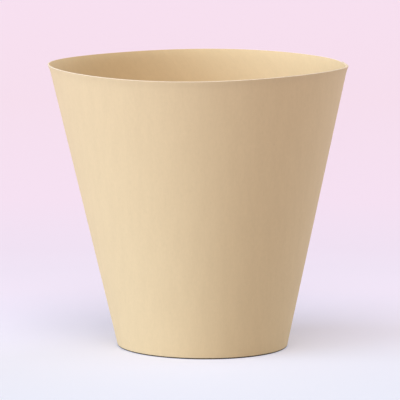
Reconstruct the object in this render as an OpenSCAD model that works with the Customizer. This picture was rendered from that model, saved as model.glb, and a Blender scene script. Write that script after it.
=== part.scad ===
// Kraft paper cone sleeve: a short band of board, rolled into a cone and glued
// along one lapped seam, open at the rim and at the standing edge.
// Z is up, and the origin is the centre of the standing edge.

/* [Sleeve] */
// Outside diameter of the rim
rim_d = 64; // [52:0.5:80]
// Outside diameter of the standing edge
base_d = 36.5; // [24:0.5:46]
// Height of the rim's outer corner above the standing edge
height = 61; // [40:0.5:90]

/* [Board] */
// Thickness of the board
board_t = 0.3; // [0.2:0.05:0.6]

/* [Lap seam] */
// Width of the glued lap, measured round the rim
lap_w = 10; // [6:0.5:16]
// Direction of the lap's inner cut edge, in degrees from +X towards +Y
seam_dir = -4; // [-180:1:180]

/* [Hidden] */
$fn = 180;

rim_r = rim_d / 2;
base_r = base_d / 2;
// Lean of the wall from the vertical
lean = atan((rim_r - base_r) / height);
// Width of the wall in a level cut, to a fiftieth of a millimetre, so that the
// layers of the lap meet face to face
level_w = round(board_t / cos(lean) * 50) / 50;
lap_angle = lap_w / rim_r * 180 / PI;
// How far past the rim the wall is drawn before it is trimmed
trim_share = 1.05;

// The wall's section, moved out from the axis. The foot is level, and the rim is
// trimmed square to the board, so its inner corner is the highest point.
module wall_section(out) {
    trim_r = base_r + trim_share * (rim_r - base_r);
    trim_z = trim_share * height;
    translate([out, 0])
        difference() {
            polygon([
                [base_r - level_w, 0],
                [base_r, 0],
                [trim_r, trim_z],
                [trim_r - level_w, trim_z],
            ]);
            translate([rim_r, height])
                rotate(-lean)
                    translate([-2 * level_w, 0])
                        square([4 * level_w, 2 * (trim_z - height)]);
        }
}

// The wall bent round the axis from one direction, over part of a turn
module bent_wall(from, sweep, out = 0) {
    rotate([0, 0, from])
        rotate_extrude(angle = sweep)
            wall_section(out);
}

// The board is wrapped from two half turns. The second is struck from a centre
// half a wall to one side, so it leaves the first half without a kink and comes
// round one wall further out, where the lap lies flat on the first half.
module sleeve() {
    color("#d8ba8c")
        rotate([0, 0, seam_dir]) {
            bent_wall(0, 180);
            translate([level_w / 2, 0, 0])
                bent_wall(180, 180, level_w / 2);
            bent_wall(0, lap_angle, level_w);
        }
}

sleeve();
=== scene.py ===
"""Looks of a kraft board cone sleeve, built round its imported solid. Metres, Z up."""

import math

import bpy
import numpy as np
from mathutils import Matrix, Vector


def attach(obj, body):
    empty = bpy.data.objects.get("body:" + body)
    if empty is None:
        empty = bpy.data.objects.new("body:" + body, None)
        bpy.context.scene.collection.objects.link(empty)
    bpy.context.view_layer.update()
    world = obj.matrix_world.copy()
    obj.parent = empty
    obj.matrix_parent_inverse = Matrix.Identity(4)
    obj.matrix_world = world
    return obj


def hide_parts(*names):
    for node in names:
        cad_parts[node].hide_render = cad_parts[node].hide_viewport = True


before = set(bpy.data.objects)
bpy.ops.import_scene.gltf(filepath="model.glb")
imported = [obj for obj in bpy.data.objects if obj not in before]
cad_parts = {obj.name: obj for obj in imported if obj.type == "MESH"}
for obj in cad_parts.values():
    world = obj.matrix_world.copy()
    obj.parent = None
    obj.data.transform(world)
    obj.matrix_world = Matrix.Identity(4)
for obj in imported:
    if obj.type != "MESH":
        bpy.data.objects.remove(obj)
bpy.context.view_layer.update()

MM = 0.001

# The board and its lap, as the solid has them
WALL_W = 0.3 * MM
LAP_W = 10 * MM
SEAM_DIR = math.radians(-4)

# The lap's free edge, where the glue ends short of the cut and the board stands off
LAP_FREE = 2 * MM
LAP_LIFT = 0.12 * MM

# Rounding that the cut leaves on the board's edges
RIM_ROUND = 0.04 * MM
FOOT_OUTER_ROUND = 0.28 * MM
FOOT_INNER_ROUND = 0.05 * MM

# How this one sleeve departs from a true cone: it leans, its foot is a little oval,
# its rim flares a little, and the rim was cut a little unevenly, in waves of one, two
# and three to the turn and a little lower at the lap
RIM_LEAN = -0.88 * MM
FOOT_OVAL = -0.36 * MM
RIM_FLARE = 0.22 * MM
RIM_FLARE_HIGH = 2 * MM
RIM_WAVES = [
    (1, 0.045 * MM, 0.0),
    (2, 0.09 * MM, -0.025 * MM),
    (3, -0.12 * MM, -0.17 * MM),
]
LAP_DIP = 0.3 * MM
LAP_DIP_DIR = math.radians(5)
LAP_DIP_SPREAD = math.radians(12)

# Colours of the board, of the flecks in it and of its cut edges: pale at the rim, and
# at the foot a nearly black painted shade that stands for the shadow line where it meets the floor
BOARD_DARK = (0.733, 0.546, 0.305)
BOARD_LIGHT = (0.752, 0.562, 0.315)
FLECK_DARK = (0.66, 0.48, 0.28)
FLECK_PALE = (0.79, 0.61, 0.39)
RIM_DARK = (0.86, 0.71, 0.50)
RIM_LIGHT = (0.94, 0.81, 0.61)
# Painted shade: the foot cut's nearly black colour stands for the shadow line under the foot
FOOT_SHADE_DARK = (0.030, 0.020, 0.011)
FOOT_SHADE_LIGHT = (0.045, 0.030, 0.018)

# Colours of the floor at some distances from a point in front of the sleeve, the glow
# that only the eye sees on it, and the backdrop beyond its edge. The lighter tone about
# 0.135 m out is painted light that lifts the sleeve's shade on the floor there
FLOOR_CENTRE = (0, -0.1, 0)
FLOOR_TONES = [
    (0.055, (0.634, 0.650, 0.705)),
    (0.092, (0.638, 0.638, 0.696)),
    # Painted light: this ring is lighter to lift the shade that the sleeve casts behind and beside
    # it
    (0.135, (0.745, 0.700, 0.809)),
    (0.178, (0.740, 0.643, 0.735)),
    (0.210, (0.700, 0.600, 0.685)),
    (0.240, (0.700, 0.580, 0.664)),
    (0.330, (0.760, 0.581, 0.666)),
    (0.570, (0.795, 0.588, 0.653)),
    (0.920, (0.850, 0.628, 0.711)),
]
FLOOR_GLOW = (0.212, 0.214, 0.243)
BACKDROP = (0.93, 0.76, 0.86)
FLOOR_HALF = 8.0

# The room's soft light, and how far away the soft boxes stand
ROOM_LIGHT = (0.230, 0.221, 0.200)
LIGHT_DISTANCE = 5.0

# Marks of the board's faces
WALL, RIM_CUT, FOOT_CUT = range(3)

# Mesh density
COLUMNS = 420
ROWS = 80
CORNER_POINTS = 5

# The photograph's view
CAMERA_PITCH = math.radians(7.96)
CAMERA_DISTANCE = 862.5 * MM
CAMERA_LENS = 360.0
CAMERA_SENSOR = 36.0
AIM_X = 0.07 * MM
AIM_Z = 31.6 * MM


def solid_sizes(node):
    """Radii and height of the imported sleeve's outside, read from its mesh."""
    points = np.array([v.co for v in node.data.vertices])
    foot = points[points[:, 2] < 0.001 * MM]
    leftmost = points[points[:, 0].argmin()]
    return -leftmost[0], -foot[:, 0].min(), leftmost[2]


RIM_R, BASE_R, HEIGHT = solid_sizes(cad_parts["sleeve"])
LEAN = math.atan((RIM_R - BASE_R) / HEIGHT)
SLANT = HEIGHT / math.cos(LEAN)
BOARD_T = WALL_W * math.cos(LEAN)
TURN_END = 2 * math.pi + LAP_W / RIM_R
FRONT_TURN = 1.5 * math.pi - SEAM_DIR


def board_outline():
    """Section of the board as (distance up the slant, depth in from the outside, edge) points.

    The edge is that of the stretch which starts at the point: wall, rim cut or foot cut."""
    foot_rise = BOARD_T * math.tan(LEAN)
    corners = [
        (Vector((0, 0)), FOOT_OUTER_ROUND, FOOT_CUT, ROWS, WALL),
        (Vector((SLANT, 0)), RIM_ROUND, RIM_CUT, 1, RIM_CUT),
        (Vector((SLANT, BOARD_T)), RIM_ROUND, RIM_CUT, ROWS, WALL),
        (Vector((-foot_rise, BOARD_T)), FOOT_INNER_ROUND, FOOT_CUT, 1, FOOT_CUT),
    ]
    outline = []
    for i, (here, radius, corner_edge, between, next_edge) in enumerate(corners):
        before = corners[i - 1][0]
        after, after_radius = corners[(i + 1) % len(corners)][:2]
        start = here + (before - here).normalized() * radius
        end = here + (after - here).normalized() * radius
        for k in range(CORNER_POINTS - 1):
            t = k / (CORNER_POINTS - 1)
            point = (1 - t) ** 2 * start + 2 * t * (1 - t) * here + t ** 2 * end
            outline.append((*point, corner_edge))
        far_end = after + (here - after).normalized() * after_radius
        for k in range(between + 1):
            outline.append((*end.lerp(far_end, k / (between + 1)), next_edge))
    return np.array(outline)


def wrap(turn, radius):
    """Plan position of the board after a turn from its inner cut edge, from two centres."""
    second = (turn > math.pi) & (turn <= 2 * math.pi)
    lap = turn > 2 * math.pi
    centre = np.where(second, WALL_W / 2, 0)
    free = np.clip(1 - (TURN_END - turn) * RIM_R / LAP_FREE, 0, 1)
    out = np.where(lap, WALL_W, centre) - WALL_W / 4 + LAP_LIFT * free ** 2
    x = centre + (radius + out) * np.cos(turn)
    y = (radius + out) * np.sin(turn)
    c, s = math.cos(SEAM_DIR), math.sin(SEAM_DIR)
    return c * x - s * y, s * x + c * y


def rim_rise(phi):
    """How far the rim stands above its true height, in the direction phi."""
    rise = np.zeros_like(phi)
    for waves, cosine, sine in RIM_WAVES:
        rise += cosine * np.cos(waves * phi) + sine * np.sin(waves * phi)
    from_lap = (phi - LAP_DIP_DIR + math.pi) % (2 * math.pi) - math.pi
    return rise - LAP_DIP * np.exp(-(from_lap / LAP_DIP_SPREAD) ** 2)


def settle(x, y, z):
    """Moves points of the true cone to the slightly uneven shape of the real sleeve."""
    share = z / HEIGHT
    phi = np.arctan2(y, x)
    out = (1 - share) * FOOT_OVAL * np.sin(2 * phi)
    x = x + out * np.cos(phi) + (share - 0.5) * RIM_LEAN
    y = y + out * np.sin(phi)
    return x, y, z


def flat_position(turn, along):
    """Where a point lay in the flat blank, a ring sector about the cone's apex.

    The first axis runs up the front of the sleeve, and the board's grain runs with it."""
    apex = BASE_R / math.sin(LEAN) + along
    angle = (turn - FRONT_TURN) * math.sin(LEAN)
    return apex * np.cos(angle), apex * np.sin(angle)


def mesh_object(name, points, faces):
    mesh = bpy.data.meshes.new(name)
    mesh.from_pydata([tuple(p) for p in points], [], faces)
    mesh.update()
    piece = bpy.data.objects.new(name, mesh)
    bpy.context.scene.collection.objects.link(piece)
    return piece


def sleeve_board():
    """The rolled board as one closed mesh, with its cut edges marked."""
    outline = board_outline()
    turns = np.linspace(0, TURN_END, COLUMNS)
    turn, along = np.meshgrid(turns, outline[:, 0], indexing="ij")
    flare = RIM_FLARE * np.clip(1 - (SLANT - along) / RIM_FLARE_HIGH, 0, 1) ** 2
    along = along * (1 + rim_rise(turn + SEAM_DIR) / HEIGHT)
    depth = np.broadcast_to(outline[:, 1], turn.shape)
    radius = BASE_R + along * math.sin(LEAN) - depth * math.cos(LEAN) + flare
    z = along * math.cos(LEAN) + depth * math.sin(LEAN)
    x, y = wrap(turn, radius)
    x, y, z = settle(x, y, z)
    points = np.stack([x, y, z], -1).reshape(-1, 3)

    ring = len(outline)
    faces = []
    edges = []
    for i in range(COLUMNS - 1):
        for j in range(ring):
            k = (j + 1) % ring
            faces.append((i * ring + j, (i + 1) * ring + j, (i + 1) * ring + k, i * ring + k))
            edges.append(outline[j, 2])
    for column, flip in ((0, False), (COLUMNS - 1, True)):
        caps = end_cap(column * ring, ring, flip)
        faces += caps
        edges += [RIM_CUT] * len(caps)
    piece = mesh_object("sleeve_board", points, faces)

    mesh = piece.data
    u, v = flat_position(turn, along)
    sheet = mesh.attributes.new("sheet", "FLOAT_VECTOR", "POINT")
    sheet.data.foreach_set("vector", np.stack([u, v, depth], -1).astype(np.float32).ravel())
    for name, edge in (("rim_cut", RIM_CUT), ("foot_cut", FOOT_CUT)):
        mark = mesh.attributes.new(name, "FLOAT", "FACE")
        mark.data.foreach_set("value", (np.array(edges) == edge).astype(np.float32))
    mesh.polygons.foreach_set("use_smooth", [True] * len(mesh.polygons))
    mesh.set_sharp_from_angle(angle=math.radians(50))
    return piece


def end_cap(first, ring, flip):
    """Quads across the board at one of its two cut ends."""
    half = ring // 2
    caps = []
    for j in range(half - 1):
        a, b = first + j, first + j + 1
        c, d = first + ring - 2 - j, first + ring - 1 - j
        quad = (a, b, c, d)
        caps.append(quad[::-1] if flip else quad)
    return caps


def node_tree(name):
    material = bpy.data.materials.new(name)
    material.use_nodes = True
    return material, material.node_tree.nodes, material.node_tree.links


def sheet_position(nodes, links, stretch):
    """Place in the flat blank, squeezed along some directions."""
    place = nodes.new("ShaderNodeAttribute")
    place.attribute_name = "sheet"
    mapping = nodes.new("ShaderNodeMapping")
    mapping.inputs["Scale"].default_value = stretch
    links.new(place.outputs["Vector"], mapping.inputs["Vector"])
    return mapping.outputs["Vector"]


def noise(nodes, links, position, scale, detail):
    texture = nodes.new("ShaderNodeTexNoise")
    texture.inputs["Scale"].default_value = scale
    texture.inputs["Detail"].default_value = detail
    links.new(position, texture.inputs["Vector"])
    return texture.outputs["Fac"]


def ramp(nodes, links, value, *stops):
    """Colours along a value, from (place, colour) stops."""
    node = nodes.new("ShaderNodeValToRGB")
    while len(node.color_ramp.elements) < len(stops):
        node.color_ramp.elements.new(0.5)
    for element, (place, colour) in zip(node.color_ramp.elements, stops):
        element.position = place
        element.color = (*colour, 1)
    links.new(value, node.inputs["Fac"])
    return node.outputs["Color"]


def grey(level):
    return level, level, level


def blend(nodes, links, kind, first, second, factor=None):
    """Mixes a colour with a second one, plain or linked, fully unless a factor is linked."""
    node = nodes.new("ShaderNodeMix")
    node.data_type = "RGBA"
    node.blend_type = kind
    a, b = (s for s in node.inputs if s.type == "RGBA")
    links.new(first, a)
    if isinstance(second, tuple):
        b.default_value = (*second, 1)
    else:
        links.new(second, b)
    node.inputs["Factor"].default_value = 1
    if factor:
        links.new(factor, node.inputs["Factor"])
    return next(s for s in node.outputs if s.type == "RGBA")


def flecks(nodes, links, scale, least, radius):
    """Where the board has a fleck of bark or bleached pulp: a spot in a few of the cells."""
    cells = nodes.new("ShaderNodeTexVoronoi")
    cells.inputs["Scale"].default_value = scale
    links.new(sheet_position(nodes, links, (1, 1.6, 1)), cells.inputs["Vector"])
    spot = ramp(nodes, links, cells.outputs["Distance"], (radius * 0.5, grey(1)), (radius, grey(0)))
    picked = ramp(nodes, links, cells.outputs["Color"], (least, grey(0)), (least + 0.02, grey(1)))
    return blend(nodes, links, "MULTIPLY", spot, picked)


def kraft_board():
    """Uncoated brown board: soft clouds, fibres, flecks, a pale rim cut, and a foot cut painted
    dark as the shadow line at the floor.
    """
    material, nodes, links = node_tree("kraft_board")
    shader = nodes["Principled BSDF"]
    shader.inputs["Roughness"].default_value = 0.8
    shader.inputs["Specular IOR Level"].default_value = 0.3

    flat = sheet_position(nodes, links, (1, 1, 1))
    grain = sheet_position(nodes, links, (0.22, 1, 1))
    clouds = noise(nodes, links, grain, 500, 2)
    pulp = noise(nodes, links, flat, 1200, 2)
    fibres = noise(nodes, links, grain, 3200, 2)
    tone = ramp(nodes, links, clouds, (0.3, BOARD_DARK), (0.7, BOARD_LIGHT))
    pulp_shade = ramp(nodes, links, pulp, (0.3, grey(0.98)), (0.7, grey(1)))
    fibre_shade = ramp(nodes, links, fibres, (0.3, grey(0.98)), (0.6, grey(1)))
    tone = blend(nodes, links, "MULTIPLY", tone, pulp_shade)
    tone = blend(nodes, links, "MULTIPLY", tone, fibre_shade)
    dark = flecks(nodes, links, 300, 0.88, 0.08)
    pale = flecks(nodes, links, 270, 0.88, 0.08)
    tone = blend(nodes, links, "MIX", tone, FLECK_DARK, dark)
    tone = blend(nodes, links, "MIX", tone, FLECK_PALE, pale)
    # The rim cut gets its pale colour; the foot cut's dark colour is painted shade for the shadow
    # line at the floor
    for name, low, high in (("rim_cut", RIM_DARK, RIM_LIGHT), ("foot_cut", FOOT_SHADE_DARK, FOOT_SHADE_LIGHT)):
        cut = nodes.new("ShaderNodeAttribute")
        cut.attribute_name = name
        core = ramp(nodes, links, fibres, (0.3, low), (0.7, high))
        tone = blend(nodes, links, "MIX", tone, core, cut.outputs["Fac"])
    links.new(tone, shader.inputs["Base Color"])

    bump = nodes.new("ShaderNodeBump")
    bump.inputs["Strength"].default_value = 0.25
    bump.inputs["Distance"].default_value = 0.03 * MM
    links.new(blend(nodes, links, "ADD", fibres, pulp), bump.inputs["Height"])
    links.new(bump.outputs["Normal"], shader.inputs["Normal"])
    return material


def seen(nodes, links):
    """One for what the eye sees straight on, in a mirror or through glass, and else zero."""
    path = nodes.new("ShaderNodeLightPath")
    total = path.outputs["Is Camera Ray"]
    for kind in ("Is Glossy Ray", "Is Transmission Ray"):
        node = nodes.new("ShaderNodeMath")
        node.operation = "ADD"
        node.use_clamp = True
        links.new(total, node.inputs[0])
        links.new(path.outputs[kind], node.inputs[1])
        total = node.outputs["Value"]
    return total


def plain_floor():
    """Matt paper, nearly white in front of the sleeve and pink further back."""
    material, nodes, links = node_tree("plain_floor")
    shader = nodes["Principled BSDF"]
    shader.inputs["Roughness"].default_value = 0.9
    shader.inputs["Specular IOR Level"].default_value = 0.0
    place = nodes.new("ShaderNodeNewGeometry")
    away = nodes.new("ShaderNodeVectorMath")
    away.operation = "DISTANCE"
    links.new(place.outputs["Position"], away.inputs[0])
    away.inputs[1].default_value = FLOOR_CENTRE
    links.new(ramp(nodes, links, away.outputs["Value"], *FLOOR_TONES), shader.inputs["Base Color"])
    shader.inputs["Emission Color"].default_value = (*FLOOR_GLOW, 1)
    links.new(seen(nodes, links), shader.inputs["Emission Strength"])
    return material


def floor():
    half = FLOOR_HALF
    corners = [(-half, -half, 0), (half, -half, 0), (half, half, 0), (-half, half, 0)]
    piece = mesh_object("floor", corners, [(0, 1, 2, 3)])
    piece.data.materials.append(plain_floor())
    return piece


def soft_light(name, azimuth, elevation, size, power, colour):
    """A large soft box of some width and height. Azimuth 0 is the camera's, and 90 its right."""
    lamp = bpy.data.lights.new(name, "AREA")
    lamp.shape = "RECTANGLE"
    lamp.size, lamp.size_y = size
    lamp.energy = power
    lamp.color = colour
    piece = bpy.data.objects.new(name, lamp)
    a, e = math.radians(azimuth), math.radians(elevation)
    away = Vector((math.sin(a) * math.cos(e), -math.cos(a) * math.cos(e), math.sin(e)))
    piece.location = away * LIGHT_DISTANCE
    piece.rotation_mode = "QUATERNION"
    piece.rotation_quaternion = (-away).to_track_quat("-Z", "Y")
    piece.visible_camera = False
    bpy.context.scene.collection.objects.link(piece)
    return piece


def room():
    """Weak fill light from all round, and a pale pink backdrop for the eye."""
    world = bpy.data.worlds.new("room")
    world.use_nodes = True
    nodes, links = world.node_tree.nodes, world.node_tree.links
    light = nodes["Background"]
    light.inputs["Color"].default_value = (*ROOM_LIGHT, 1)
    backdrop = nodes.new("ShaderNodeBackground")
    backdrop.inputs["Color"].default_value = (*BACKDROP, 1)
    either = nodes.new("ShaderNodeMixShader")
    links.new(seen(nodes, links), either.inputs["Fac"])
    links.new(light.outputs["Background"], either.inputs[1])
    links.new(backdrop.outputs["Background"], either.inputs[2])
    links.new(either.outputs["Shader"], nodes["World Output"].inputs["Surface"])
    bpy.context.scene.world = world


def studio():
    """A cool window on the left, a soft box above in front and a weaker one behind on the right."""
    soft_light("window", -68, 12, (4.0, 2.2), 277, (0.638, 0.787, 1.0))
    soft_light("above", 0, 60, (5.0, 5.0), 211, (1.0, 0.943, 0.968))
    soft_light("right", 125, 8, (4.0, 1.4), 112, (0.752, 0.864, 1.0))
    room()


def camera():
    lens = bpy.data.cameras.new("camera")
    lens.lens = CAMERA_LENS
    lens.sensor_width = CAMERA_SENSOR
    lens.clip_start = 0.05
    lens.clip_end = 20
    piece = bpy.data.objects.new("camera", lens)
    towards = Vector((0, math.cos(CAMERA_PITCH), -math.sin(CAMERA_PITCH)))
    piece.location = Vector((AIM_X, 0, AIM_Z)) - towards * CAMERA_DISTANCE
    piece.rotation_euler = (math.pi / 2 - CAMERA_PITCH, 0, 0)
    bpy.context.scene.collection.objects.link(piece)
    bpy.context.scene.camera = piece


board = sleeve_board()
board.data.materials.append(kraft_board())
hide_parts("sleeve")
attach(board, "root")

floor()
studio()
camera()
bpy.context.scene.view_settings.view_transform = "Standard"
